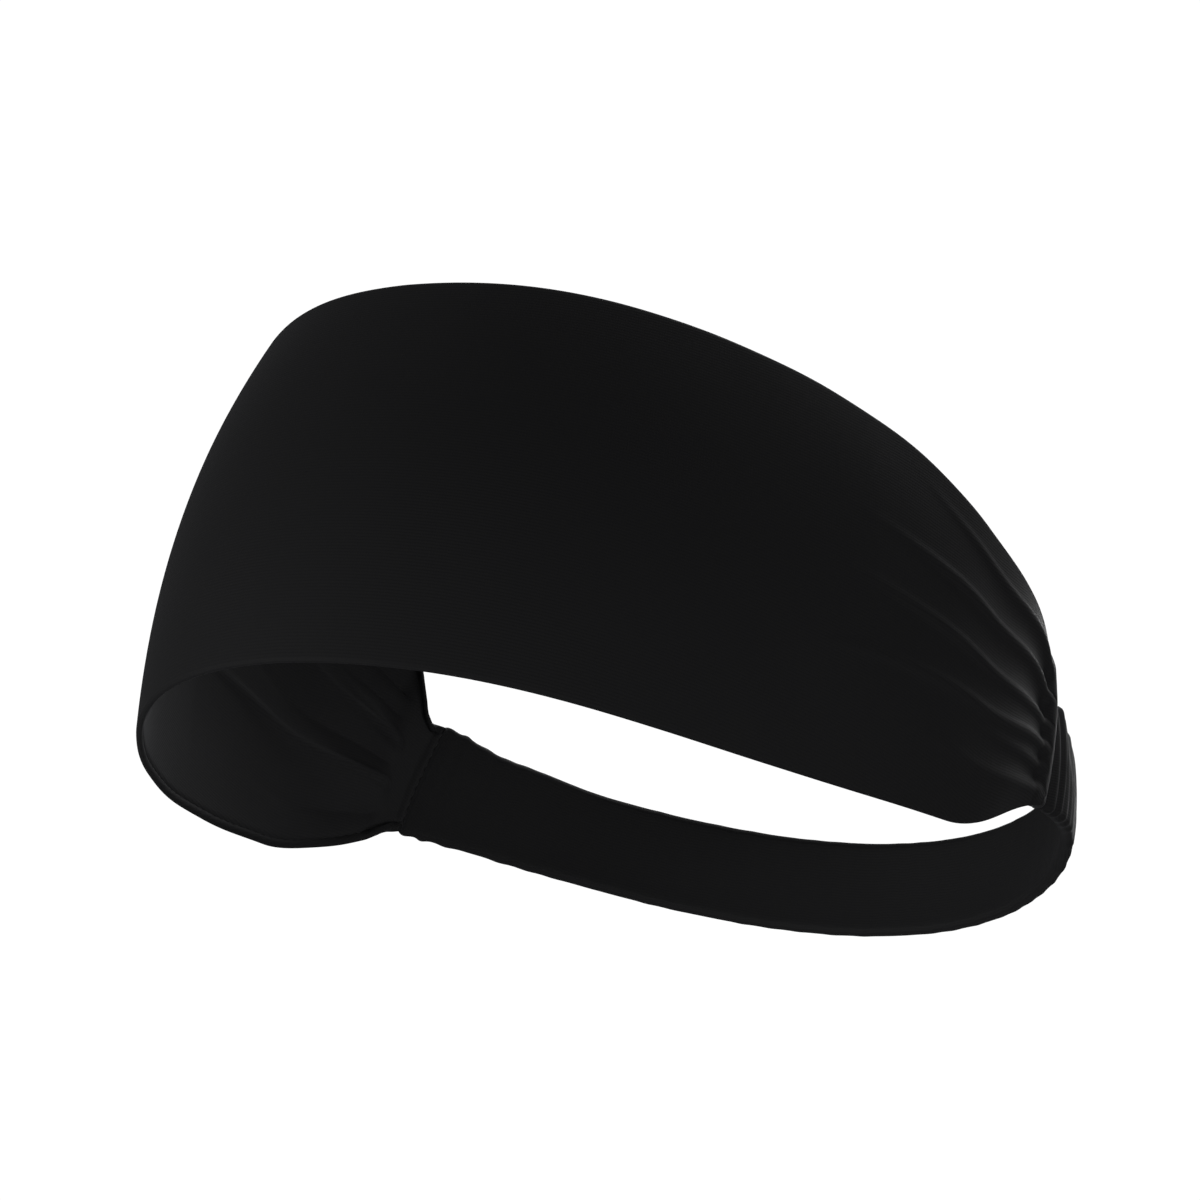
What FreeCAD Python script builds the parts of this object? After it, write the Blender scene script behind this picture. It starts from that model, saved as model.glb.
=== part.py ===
"""Wide stretch sports headband, opened to the size and tilt at which it is worn.

A two-layer knit panel covers the front and sides of the head. Each end of the panel is
gathered down to a narrow neck and sewn to a ruched sleeve that holds a flat elastic.

Lengths are in mm and angles in degrees. The shape is described in the ring frame: Z is
square to the plane of the panel's lower edge, the front is at -Y and the wearer's left at
+X. An angle runs round the ring from 0 at the middle of the front to 180 at the middle of
the back. Every finished solid is then tilted, front up, into the wearer's upright frame.
"""
import FreeCAD
import Part
import math
import os

Vector = FreeCAD.Vector

# Ring: the egg-shaped plan of the lower edge, as worn
RING_HALF_WIDTH = 79.5
RING_HALF_LENGTH = 94.5
RING_EGG = 0.04             # how much the sides lean towards the back
OPENING_LEVEL = 20.0        # the origin's height above the panel's lower edge
WORN_TILT = 14.5            # how far the front is raised on the head

# Front panel
PANEL_HEIGHT = 78.5         # along the cloth, at the middle of the front
PANEL_TAPER = 4.0           # how late the height falls away towards the neck
PANEL_LEAN = 17.5           # how far the upper rim leans in over the forehead
LEAN_END = 98.0             # the angle where the lean has died out
LEAN_FADE = 1.6
PANEL_BULGE = 5.4           # the crown of the cloth between its two rims
BULGE_END = 112.0
BULGE_FADE = 40.0
BULGE_LEAST = 0.15
SAG = 5.0                   # how far the lower rim hangs below its plane at the sides
SAG_ANGLE = 67.0
SAG_SPREAD = 33.0

# Neck: the gathered end of the panel
NECK_ANGLE = 111.5
NECK_HEIGHT = 22.0
NECK_CLIMB = 10.0           # the neck sits this far above the panel's lower rim
CLIMB_SPAN = 22.0
COLLAR_LENGTH = 9.0         # the thickened stretch over the turned-in raw ends
COLLAR_FADE = 12.0

# Back band
BAND_HEIGHT = 18.7
BAND_TAPER_END = 142.0
BAND_DROP = 6.7             # how far the band falls from the neck to the middle of the back
ELASTIC_HEIGHT = 15.0
ELASTIC_THICKNESS = 1.3

# Cloth, thread and clearances
CLOTH = 0.6
LAYER_GAP = 0.2
RIM_INSET = 0.9             # the lining stops this far short of each rim
THREAD = 0.3
SEAM_THREAD = 0.6
BODY_GAP = 0.35             # between the panel's end and the back band
FIT_GAP = 0.08              # between a thread and what it lies on
RIM_SEAM_GAP = 0.25         # between a rim's seam thread and the outer layer
ALLOWANCE_LENGTH = 6.0
ALLOWANCE_THICKNESS = 1.2
COLLAR_DEPTH = ALLOWANCE_THICKNESS + 2 * (THREAD + 4 * FIT_GAP)
GATHER_ROW_PITCH = 2.5
TACK_PITCH = 2.0
SLEEVE_EASE = THREAD + 3 * FIT_GAP      # between the elastic and the sleeve's walls
TACK_ROWS = 2

# Sections per solid
PANEL_SECTIONS = 43
COLLAR_SECTIONS = 7
BAND_SECTIONS = 18
SHORT_SECTIONS = 4
SECTION_POINTS = 7

BACK = 180.0


def smooth(share):
    """Ease from 0 to 1, level at both ends."""
    share = min(max(share, 0.0), 1.0)
    return share * share * (3 - 2 * share)


def plan_point(angle):
    """The lower rim's place in plan."""
    turn = math.radians(angle)
    width = RING_HALF_WIDTH * (1 - RING_EGG * math.cos(turn))
    return Vector(width * math.sin(turn), -RING_HALF_LENGTH * math.cos(turn), 0)


def outward(angle):
    """The level direction that points away from the head."""
    step = plan_point(angle + 0.5) - plan_point(angle - 0.5)
    return Vector(step.y, -step.x, 0).normalize()


def from_front(angle):
    """The angle from the middle of the front, the same on both sides."""
    return abs((angle + BACK) % (2 * BACK) - BACK)


def lower_level(angle):
    """Height of the lower rim above the ring frame's origin."""
    side = from_front(angle)
    sag = SAG * math.exp(-((side - SAG_ANGLE) / SAG_SPREAD) ** 2)
    climb = NECK_CLIMB * smooth((side - NECK_ANGLE + CLIMB_SPAN) / CLIMB_SPAN)
    drop = BAND_DROP * max(side - NECK_ANGLE, 0.0) / (BACK - NECK_ANGLE)
    return climb - sag - drop - OPENING_LEVEL


def cloth_height(angle):
    """Height of the panel or band, measured along the cloth."""
    side = from_front(angle)
    if side < NECK_ANGLE:
        fall = (side / NECK_ANGLE) ** PANEL_TAPER
        return PANEL_HEIGHT + (NECK_HEIGHT - PANEL_HEIGHT) * fall
    taper = smooth((side - NECK_ANGLE) / (BAND_TAPER_END - NECK_ANGLE))
    return NECK_HEIGHT + (BAND_HEIGHT - NECK_HEIGHT) * taper


def cloth_point(angle, share):
    """A point on the middle surface: share runs from 0, lower rim, to 1, upper rim."""
    side = from_front(angle)
    height = cloth_height(angle)
    lean_turn = math.radians(90 * min(side / LEAN_END, 1.0))
    lean = PANEL_LEAN * max(math.cos(lean_turn), 0.0) ** LEAN_FADE
    rise = math.sqrt(height ** 2 - lean ** 2)
    crown = min(max((BULGE_END - side) / BULGE_FADE, BULGE_LEAST), 1.0)
    bulge = PANEL_BULGE * crown * 4 * share * (1 - share)
    level = Vector(0, 0, lower_level(angle) + rise * share)
    return plan_point(angle) + level + outward(angle) * (bulge - lean * share)


def offset_point(angle, share, offset):
    """A point outwards off the middle surface, in the upright plane at this angle.

    The move in that plane is lengthened so that the distance square to the cloth is the
    offset, and every section stays flat.
    """
    along = cloth_point(angle + 0.5, share) - cloth_point(angle - 0.5, share)
    up = cloth_point(angle, share + 0.01) - cloth_point(angle, share - 0.01)
    normal = along.cross(up).normalize()
    level = outward(angle)
    flat = level * normal.dot(level) + Vector(0, 0, normal.z)
    return cloth_point(angle, share) + flat * (offset / flat.dot(flat))


def turn_by(angle, distance):
    """The angle reached by going a distance along the ring towards larger angles."""
    speed = (plan_point(angle + 0.5) - plan_point(angle - 0.5)).Length
    return angle + distance / speed


def spread(first, last, count):
    """Evenly spaced values, both ends included."""
    return [first + (last - first) * step / (count - 1) for step in range(count)]


def collar_start():
    """The angle where the layers begin to part over the turned-in raw ends."""
    return turn_by(NECK_ANGLE, -COLLAR_LENGTH - COLLAR_FADE)


def layer_gap(angle):
    """Room between the two layers: wide in the collar, where the raw ends are turned in."""
    full = turn_by(NECK_ANGLE, -COLLAR_LENGTH)
    swell = smooth((from_front(angle) - collar_start()) / (full - collar_start()))
    return LAYER_GAP + (COLLAR_DEPTH - LAYER_GAP) * swell


def section(angle, inset, inner, outer):
    """A strip's outline across the cloth, drawn in from both rims."""
    height = cloth_height(angle)
    shares = spread(inset / height, 1 - inset / height, SECTION_POINTS)
    inside = [offset_point(angle, share, inner) for share in shares]
    outside = [offset_point(angle, share, outer) for share in shares]
    edges = []
    for points in (outside, inside[::-1]):
        curve = Part.BSplineCurve()
        curve.interpolate(points)
        edges.append(curve.toShape())
    edges.insert(1, Part.LineSegment(outside[-1], inside[-1]).toShape())
    edges.append(Part.LineSegment(inside[0], outside[0]).toShape())
    return Part.Wire(edges)


def strip(angles, inset, inner, outer):
    """A solid strip of cloth through one section for each angle.

    Inset is the distance in from each rim. Inner and outer are offsets from the middle
    surface. Each of the three may be a number or a function of the angle.
    """
    def at(value, angle):
        return value(angle) if callable(value) else value

    sections = [section(angle, at(inset, angle), at(inner, angle), at(outer, angle))
                for angle in angles]
    return Part.makeLoft(sections, True, False)


def thread(points, diameter):
    """A round thread along a smooth line of points."""
    path = Part.BSplineCurve()
    path.interpolate(points)
    start = Part.makeCircle(diameter / 2, points[0], path.tangent(path.FirstParameter)[0])
    return Part.Wire([path.toShape()]).makePipeShell([Part.Wire([start])], True, True)


def export(name, solids):
    """Tilt the solids into the wearer's frame and write them as one node."""
    shape = solids[0] if len(solids) == 1 else Part.makeCompound(solids)
    shape = shape.copy()
    shape.rotate(Vector(0, 0, 0), Vector(1, 0, 0), -WORN_TILT)
    shape.exportStep(f"parts/{name}.step")


def panel_angles():
    """Section angles of the panel, up to the seam on each side and closer in the collars."""
    end = turn_by(NECK_ANGLE, -SEAM_THREAD / 2 - FIT_GAP)
    collar = collar_start()
    front = spread(-collar, collar, PANEL_SECTIONS)
    side = spread(collar, end, COLLAR_SECTIONS)[1:]
    return [-angle for angle in side[::-1]] + front + side


def band_angles(inset):
    """Section angles of the back band, with its ends drawn in from the seams."""
    start = turn_by(NECK_ANGLE, SEAM_THREAD / 2 + BODY_GAP + inset)
    return spread(start, 2 * BACK - start, BAND_SECTIONS)


def build_panel():
    """The two cloth layers and the seam threads inside the rims."""
    outer = strip(panel_angles(), 0, lambda a: layer_gap(a) / 2,
                  lambda a: layer_gap(a) / 2 + CLOTH)
    lining = strip(panel_angles(), RIM_INSET, lambda a: -layer_gap(a) / 2 - CLOTH,
                   lambda a: -layer_gap(a) / 2)
    export("panel_outer_fabric", [outer])
    export("panel_lining", [lining])
    for name, side in (("lower_rim_seam", 0), ("upper_rim_seam", 1)):
        points = []
        for angle in panel_angles():
            inset = SEAM_THREAD / 2 / cloth_height(angle)
            depth = layer_gap(angle) / 2 - RIM_SEAM_GAP - SEAM_THREAD / 2
            points.append(offset_point(angle, abs(side - inset), depth))
        export(name, [thread(points, SEAM_THREAD)])


def build_neck(name, hand):
    """The raw ends, gathering threads and seam thread of one neck. Hand is 1 or -1."""
    seam_end = turn_by(NECK_ANGLE, -SEAM_THREAD - FIT_GAP)
    raw_end = turn_by(seam_end, -ALLOWANCE_LENGTH)
    half = ALLOWANCE_THICKNESS / 2
    inset = SEAM_THREAD + 2 * RIM_INSET
    angles = [hand * angle for angle in spread(raw_end, seam_end, SHORT_SECTIONS)]
    export(f"seam_allowance_{name}", [strip(angles, inset, -half, half)])

    depth = half + FIT_GAP + THREAD / 2
    rows = []
    for row in (1, 2):
        angle = hand * turn_by(seam_end, -row * GATHER_ROW_PITCH)
        rows.append(cross_thread(angle, inset, depth, THREAD))
    export(f"neck_gather_threads_{name}", rows)
    export(f"neck_seam_{name}", [cross_thread(hand * NECK_ANGLE, SEAM_THREAD, 0, SEAM_THREAD)])


def cross_thread(angle, inset, offset, diameter):
    """A thread that runs across the cloth from rim to rim."""
    height = cloth_height(angle)
    shares = spread(inset / height, 1 - inset / height, SECTION_POINTS)
    return thread([offset_point(angle, share, offset) for share in shares], diameter)


def elastic_inset(angle):
    """How far the elastic's edge lies in from the band's edge."""
    return (cloth_height(angle) - ELASTIC_HEIGHT) / 2


def build_band():
    """The sleeve, the elastic in it, the sleeve's own seam and the tacks on the elastic."""
    room = ELASTIC_THICKNESS / 2 + SLEEVE_EASE
    wall = room + CLOTH
    sleeve = strip(band_angles(0), 0, -wall, wall)
    hollow = strip(band_angles(-BODY_GAP), CLOTH, -room, room)
    export("band_casing", [sleeve.cut(hollow)])

    half = ELASTIC_THICKNESS / 2
    export("band_elastic", [strip(band_angles(BODY_GAP), elastic_inset, -half, half)])

    points = []
    for angle in band_angles(TACK_PITCH):
        share = (CLOTH + FIT_GAP + SEAM_THREAD / 2) / cloth_height(angle)
        points.append(offset_point(angle, share, 0))
    export("casing_seam", [thread(points, SEAM_THREAD)])

    for name, hand in (("left", 1), ("right", -1)):
        rows = []
        for row in range(1, TACK_ROWS + 1):
            start = band_angles(BODY_GAP + row * TACK_PITCH)[0]
            inset = elastic_inset(start) + THREAD
            rows.append(cross_thread(hand * start, inset, half + FIT_GAP + THREAD / 2, THREAD))
        export(f"elastic_tack_{name}", rows)


os.makedirs("parts", exist_ok=True)
build_panel()
build_neck("left", 1)
build_neck("right", -1)
build_band()
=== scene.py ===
"""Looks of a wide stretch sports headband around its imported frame.

The band is knit cloth in two layers, gathered at each side into a neck and sewn to a ruched
sleeve that holds an elastic. Every piece is a grid that is laid on one shared cloth surface,
so layers, threads and sleeve follow the same folds.

Lengths are in metres and angles in degrees. An angle runs round the ring from 0 at the middle
of the front to 180 at the middle of the back, and the wearer's left is at +X. A share runs
from 0 at the lower rim to 1 at the upper rim.
"""
import logging
import math
from dataclasses import dataclass, field
from enum import Enum
from typing import Callable

import bmesh
import bpy
import numpy as np
from bpy.types import ID, Material, Node, NodeSocket, NodeTree, Object
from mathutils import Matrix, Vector


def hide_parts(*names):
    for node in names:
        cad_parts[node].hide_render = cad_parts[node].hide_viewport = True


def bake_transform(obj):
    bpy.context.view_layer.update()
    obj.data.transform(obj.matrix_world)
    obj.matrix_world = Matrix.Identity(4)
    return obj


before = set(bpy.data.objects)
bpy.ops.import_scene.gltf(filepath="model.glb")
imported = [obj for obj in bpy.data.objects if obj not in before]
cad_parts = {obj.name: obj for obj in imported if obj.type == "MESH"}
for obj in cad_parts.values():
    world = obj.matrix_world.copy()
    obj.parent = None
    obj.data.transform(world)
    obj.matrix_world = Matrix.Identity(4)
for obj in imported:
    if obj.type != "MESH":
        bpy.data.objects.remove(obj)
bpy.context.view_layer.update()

log = logging.getLogger("headband")

MM = 0.001
BACK = 180.0

HANDS = (("left", 1), ("right", -1))

Array = np.ndarray
Placer = Callable[[Array, Array], Array]


def smooth(share: Array) -> Array:
    """Ease from 0 to 1, level at both ends."""
    share = np.clip(share, 0.0, 1.0)
    return share * share * (3 - 2 * share)


def ramp(place: Array, start: float, span: float) -> Array:
    """Ease from 0 to 1 over a span."""
    return smooth((place - start) / span)


def hump(place: Array, middle: float, spread: float) -> Array:
    """A bell curve, 1 at its middle."""
    return np.exp(-((place - middle) / spread) ** 2)


@dataclass(frozen=True)
class Hump:
    """A bell curve along the ring."""

    height: float
    middle: float
    spread: float

    def at(self, place: Array) -> Array:
        """The curve's height at each place."""
        return self.height * hump(place, self.middle, self.spread)


def turns(length: Array, pitch: float) -> Array:
    """A wave with one turn in each pitch."""
    return np.cos(length / pitch * 2 * math.pi)


def from_front(angle: Array) -> Array:
    """The angle from the middle of the front, the same on both sides."""
    return np.abs((angle + BACK) % (2 * BACK) - BACK)


def hand_of(angle: Array) -> Array:
    """1 on the wearer's left and -1 on the right."""
    return np.where((angle + BACK) % (2 * BACK) >= BACK, 1.0, -1.0)


def add_object(name: str, data: ID) -> Object:
    """Put new data in the scene.

    Args:
        name: The object's name.
        data: Its mesh, light or camera.

    Returns:
        The new object.
    """
    made = bpy.data.objects.new(name, data)
    bpy.context.scene.collection.objects.link(made)
    return made


@dataclass(frozen=True)
class Ring:
    """The smooth middle surface of the band, as it is worn."""

    half_width: float = 79.5 * MM
    half_length: float = 94.5 * MM
    egg: float = 0.04
    opening_level: float = 20 * MM
    worn_tilt: float = 14.5
    panel_height: float = 78.2 * MM
    panel_taper: float = 4.0
    panel_lean: float = 17.5 * MM
    lean_end: float = 98.0
    lean_fade: float = 1.6
    panel_bulge: float = 5.4 * MM
    bulge_end: float = 112.0
    bulge_fade: float = 40.0
    bulge_least: float = 0.15
    sag: Hump = Hump(5 * MM, 67.0, 33.0)
    neck_angle: float = 111.5
    neck_height: float = 22 * MM
    neck_climb: float = 10 * MM
    climb_span: float = 22.0
    band_height: float = 18.3 * MM
    band_taper_end: float = 138.0
    band_drop: float = 5.8 * MM
    drop_fade: float = 1.8
    neck_lean: Hump = Hump(3.6 * MM, 118.0, 15.0)
    table_size: int = 2161

    def plan(self, angle: Array) -> tuple[Array, Array]:
        """The lower rim's x and y in plan."""
        ahead, aside = np.cos(np.radians(angle)), np.sin(np.radians(angle))
        return self.half_width * (1 - self.egg * ahead) * aside, -self.half_length * ahead

    def outward(self, angle: Array) -> tuple[Array, Array]:
        """The level direction away from the head.

        Args:
            angle: Angles round the ring.

        Returns:
            The x and y of each unit direction.
        """
        turn = np.radians(angle)
        step_x = self.half_width * (np.cos(turn) - self.egg * np.cos(2 * turn))
        step_y = self.half_length * np.sin(turn)
        size = np.hypot(step_x, step_y)
        return step_y / size, -step_x / size

    def height(self, angle: Array) -> Array:
        """Height of the panel or band, measured along the cloth.

        Args:
            angle: Angles round the ring.

        Returns:
            The height at each.
        """
        side = from_front(angle)
        fall = np.minimum(side / self.neck_angle, 1.0) ** self.panel_taper
        panel = self.panel_height + (self.neck_height - self.panel_height) * fall
        taper = ramp(side, self.neck_angle, self.band_taper_end - self.neck_angle)
        return np.where(side < self.neck_angle, panel,
                        self.neck_height + (self.band_height - self.neck_height) * taper)

    def lower_level(self, angle: Array) -> Array:
        """Height of the lower rim above the origin, before the ring is tilted.

        Args:
            angle: Angles round the ring.

        Returns:
            The level at each.
        """
        side = from_front(angle)
        climb = self.neck_climb * smooth((side - self.neck_angle) / self.climb_span + 1)
        behind = np.maximum(side - self.neck_angle, 0.0) / (BACK - self.neck_angle)
        drop = self.band_drop * np.sin(math.pi / 2 * behind) ** self.drop_fade
        return climb - self.sag.at(side) - drop - self.opening_level

    def point(self, angle: Array, share: Array) -> Array:
        """Points on the smooth surface.

        Args:
            angle: Angles round the ring.
            share: Shares across the cloth, which may pass the rims a little.

        Returns:
            An array with x, y and z last, in the wearer's frame.
        """
        side = from_front(angle)
        height = self.height(angle)
        turn = np.radians(90 * np.minimum(side / self.lean_end, 1.0))
        lean = self.panel_lean * np.maximum(np.cos(turn), 0.0) ** self.lean_fade
        rise = np.sqrt(height ** 2 - lean ** 2)
        crown = np.clip((self.bulge_end - side) / self.bulge_fade, self.bulge_least, 1.0)
        lean_in = lean + self.neck_lean.at(side)
        out = self.panel_bulge * crown * 4 * share * (1 - share) - lean_in * share
        plan_x, plan_y = self.plan(angle)
        out_x, out_y = self.outward(angle)
        level = self.lower_level(angle) + rise * share
        across = plan_y + out_y * out
        tilt = math.radians(self.worn_tilt)
        return np.stack([plan_x + out_x * out,
                         across * math.cos(tilt) + level * math.sin(tilt),
                         level * math.cos(tilt) - across * math.sin(tilt)], axis=-1)

    def along(self, angle: Array) -> Array:
        """Length along the ring in plan from the middle of the front.

        Args:
            angle: Angles from -180 to 360.

        Returns:
            The signed length of each.
        """
        table = np.linspace(-BACK, 2 * BACK, self.table_size)
        plan_x, plan_y = self.plan(table)
        steps = np.hypot(np.diff(plan_x), np.diff(plan_y))
        length = np.concatenate([[0.0], np.cumsum(steps)])
        return np.interp(angle, table, length - np.interp(0.0, table, length))

    def past_seam(self, angle: Array) -> Array:
        """Length along the ring from the neck's seam: below 0 on the panel, above on the band."""
        return self.along(from_front(angle)) - float(self.along(np.array(self.neck_angle)))


@dataclass(frozen=True)
class Fold:
    """One crease that starts on the panel and runs into a neck.

    The crest passes through three shares: where the fold starts, half way, and at the neck.
    It is a broad swelling with a thin pinched ridge along its top. A height below 0 is a
    crease that stands inwards.
    """

    start: float
    crest: tuple[float, float, float]
    height: float
    lower: float
    upper: float
    ridge: float
    rounding: float = 0.8 * MM
    widening: float = 0.8
    growth: float = 1.7
    growth_rate: float = 1.15
    ridge_width: float = 0.55 * MM
    ridge_widening: float = 0.6
    ridge_rate: float = 2.6

    def relief(self, ring: Ring, angle: Array, share: Array) -> Array:
        """How far this fold lifts the cloth.

        Args:
            ring: The surface that the fold is on.
            angle: Angles round the ring.
            share: Shares across the cloth.

        Returns:
            The outward move at each place.
        """
        side = from_front(angle)
        run = np.clip((side - self.start) / (ring.neck_angle - self.start), 0.0, 1.0)
        first, middle, last = self.crest
        line = (first * (1 - run) * (1 - 2 * run) + middle * 4 * run * (1 - run)
                + last * run * (2 * run - 1))
        height = ring.height(angle)
        scale = (height / ring.neck_height) ** self.widening
        off = (share - line) * height
        reach = np.where(off > 0, self.upper, self.lower) * scale
        round_off = self.rounding * np.sqrt(scale)
        swelling = np.exp(-(np.hypot(off, round_off) - round_off) / reach)
        swelling = self.height * smooth(run * self.growth_rate) ** self.growth * swelling
        pinch = hump(off, 0.0, self.ridge_width * scale ** self.ridge_widening)
        ridge = math.copysign(self.ridge, self.height) * smooth(run * self.ridge_rate)
        return swelling + ridge * pinch


def folds(*rows: tuple[float, ...]) -> tuple[Fold, ...]:
    """Make folds from rows: start, the crest's shares, then height, reaches and ridge in mm."""
    return tuple(Fold(row[0], row[1:4], *(size * MM for size in row[4:])) for row in rows)


LEFT_FOLDS = folds(
    (76, 0.950, 0.870, 0.930, 1.4, 1.0, 2.2, 0.25),
    (68, 0.715, 0.695, 0.705, 1.3, 1.0, 1.1, 0.45),
    (64, 0.545, 0.528, 0.500, 1.1, 0.9, 1.0, 0.45),
    (64, 0.320, 0.385, 0.350, 1.5, 1.0, 1.6, 0.50),
    (84, 0.360, 0.305, 0.205, 1.2, 0.7, 1.2, 0.25),
    (76, 0.205, 0.190, 0.060, 1.7, 2.1, 1.0, 0.20),
)
RIGHT_FOLDS = folds(
    (70, 0.440, 0.425, 0.250, -1.5, 1.6, 0.7, 0.65),
    (86, 0.815, 0.672, 0.545, -1.2, 1.0, 0.7, 0.55),
    (92, 0.880, 0.700, 0.560, -0.4, 0.7, 0.6, 0.30),
    (77, 0.980, 0.915, 0.940, 1.4, 1.2, 2.0, 0.15),
    (78, 0.860, 0.810, 0.740, 1.2, 0.9, 1.2, 0.10),
    (72, 0.600, 0.550, 0.415, 1.4, 1.1, 1.3, 0.10),
    (81, 0.230, 0.160, 0.090, 1.5, 1.6, 1.3, 0.10),
)


@dataclass(frozen=True)
class Cloth:
    """The folded surface that every layer and thread is laid on."""

    ring: Ring
    seam_slant: float = 2.9
    slant_reach: float = 13.0
    slant_overrun: float = 0.1
    fold_end: tuple[float, float] = (-8.4 * MM, 3.4 * MM)
    valley: float = 1.2 * MM
    valley_rise: tuple[float, float] = (84.0, 24.0)
    groove: Hump = Hump(1.2 * MM, 0.0, 0.8 * MM)
    shoulders: tuple[float, float] = (0.5 * MM, 5.6 * MM)
    shoulder_rise: tuple[float, float] = (86.0, 17.0)
    shoulder_ends: tuple[float, float] = (108.3, 106.7)
    shoulder_fall: float = 2.6
    left_sag: Hump = Hump(-0.8 * MM, 104.5, 7.5)
    right_sag: Hump = Hump(1.8 * MM, 104.5, 7.5)
    sag_end: tuple[float, float] = (107.0, 4.0)
    left_tuck: Hump = Hump(1.9 * MM, 127.0, 10.0)
    right_dip: Hump = Hump(1.3 * MM, 121.0, 6.5)
    left_climb: Hump = Hump(0.8 * MM, 142.0, 13.0)
    right_flat: Hump = Hump(0.8 * MM, 52.0, 20.0)
    flat_peak: float = 27 / 4
    ripple: float = 0.10 * MM
    ripple_waves: tuple[tuple[float, float, float], ...] = (
        (0.31, 5.0, 0.0), (0.12, -9.0, 0.0), (0.47, -11.0, 1.0))
    third_wave: float = 0.7
    ripple_rise: tuple[float, float] = (20.0, 60.0)
    ripple_fade: float = 6 * MM

    def relief(self, angle: Array, share: Array) -> Array:
        """How far the folds and the seam's groove move the middle surface.

        Args:
            angle: Angles round the ring.
            share: Shares across the cloth.

        Returns:
            The outward move at each place.
        """
        ring = self.ring
        past = ring.past_seam(angle)
        left, right = (sum(fold.relief(ring, angle, share) for fold in side_folds)
                       for side_folds in (LEFT_FOLDS, RIGHT_FOLDS))
        lift = np.where(hand_of(angle) > 0, left, right)
        side = from_front(angle)
        hollow = self.valley * ramp(side, *self.valley_rise)
        lift = lift - hollow * 4 * share * (1 - share)
        lift = lift * (1 - ramp(past, *self.fold_end))
        first, second, third = (np.sin(side * around + share * up + shift)
                                for around, up, shift in self.ripple_waves)
        soft = self.ripple * (first * second + self.third_wave * third)
        soft = soft * ramp(side, *self.ripple_rise) * (past < 0)
        flat = np.where(hand_of(angle) < 0, self.right_flat.at(side), 0.0)
        flat = flat * self.flat_peak * share * (1 - share) ** 2
        return lift + soft * smooth(-past / self.ripple_fade) - self.groove.at(past) - flat

    def slip(self, angle: Array, share: Array) -> Array:
        """How far the gathered cloth slips along itself towards its upper rim.

        Each upper rim stands up in a shoulder before its neck and the lower rim hangs a little.
        The band's left end is tucked up and its right end dips, because cloth that is gathered
        by hand is not the same on both sides.

        Args:
            angle: Angles round the ring.
            share: Shares across the cloth.

        Returns:
            The move of each place.
        """
        side = from_front(angle)
        left = hand_of(angle) > 0
        shoulder = np.where(left, self.shoulders[0], self.shoulders[1])
        end = np.where(left, self.shoulder_ends[0], self.shoulder_ends[1])
        shoulder = shoulder * ramp(side, *self.shoulder_rise)
        shoulder = shoulder * (1 - ramp(side, end, self.shoulder_fall))
        shoulder = shoulder - np.where(left, 0.0, self.right_dip.at(side))
        sag = np.where(left, self.left_sag.at(side), self.right_sag.at(side))
        sag = sag * (1 - ramp(side, *self.sag_end))
        sag = sag - np.where(left, self.left_tuck.at(side), 0.0)
        climb = np.where(left, self.left_climb.at(side), 0.0)
        return (climb + shoulder * np.clip(share, 0, None) ** 2
                - sag * np.clip(1 - share, 0, None) ** 2)

    def middle(self, angle: Array, share: Array) -> Array:
        """Points on the folded middle surface.

        Args:
            angle: Angles round the ring.
            share: Shares across the cloth.

        Returns:
            An array with x, y and z last.
        """
        slant = self.seam_slant * hump(from_front(angle), self.ring.neck_angle, self.slant_reach)
        within = np.clip(share, -self.slant_overrun, 1 + self.slant_overrun)
        turned = angle + hand_of(angle) * slant * (within - 0.5)
        share = share + self.slip(angle, share) / self.ring.height(turned)
        base = self.ring.point(turned, share)
        normal = self.across(self.ring.point, turned, share)
        return base + normal * self.relief(angle, share)[..., None]

    @staticmethod
    def across(surface: Placer, angle: Array, share: Array) -> Array:
        """Unit directions square to a surface, outwards.

        Args:
            surface: What gives the surface's points.
            angle: Angles round the ring.
            share: Shares across the cloth.

        Returns:
            An array with x, y and z last.
        """
        turn, rise = 0.08, 0.004
        along = surface(angle + turn, share) - surface(angle - turn, share)
        up = surface(angle, share + rise) - surface(angle, share - rise)
        normal = np.cross(along, up)
        return normal / np.linalg.norm(normal, axis=-1, keepdims=True)

    def place(self, angle: Array, share: Array, offset: Array) -> Array:
        """Points at distances outwards from the folded surface."""
        normal = self.across(self.middle, angle, share)
        return self.middle(angle, share) + normal * offset[..., None]


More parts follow.
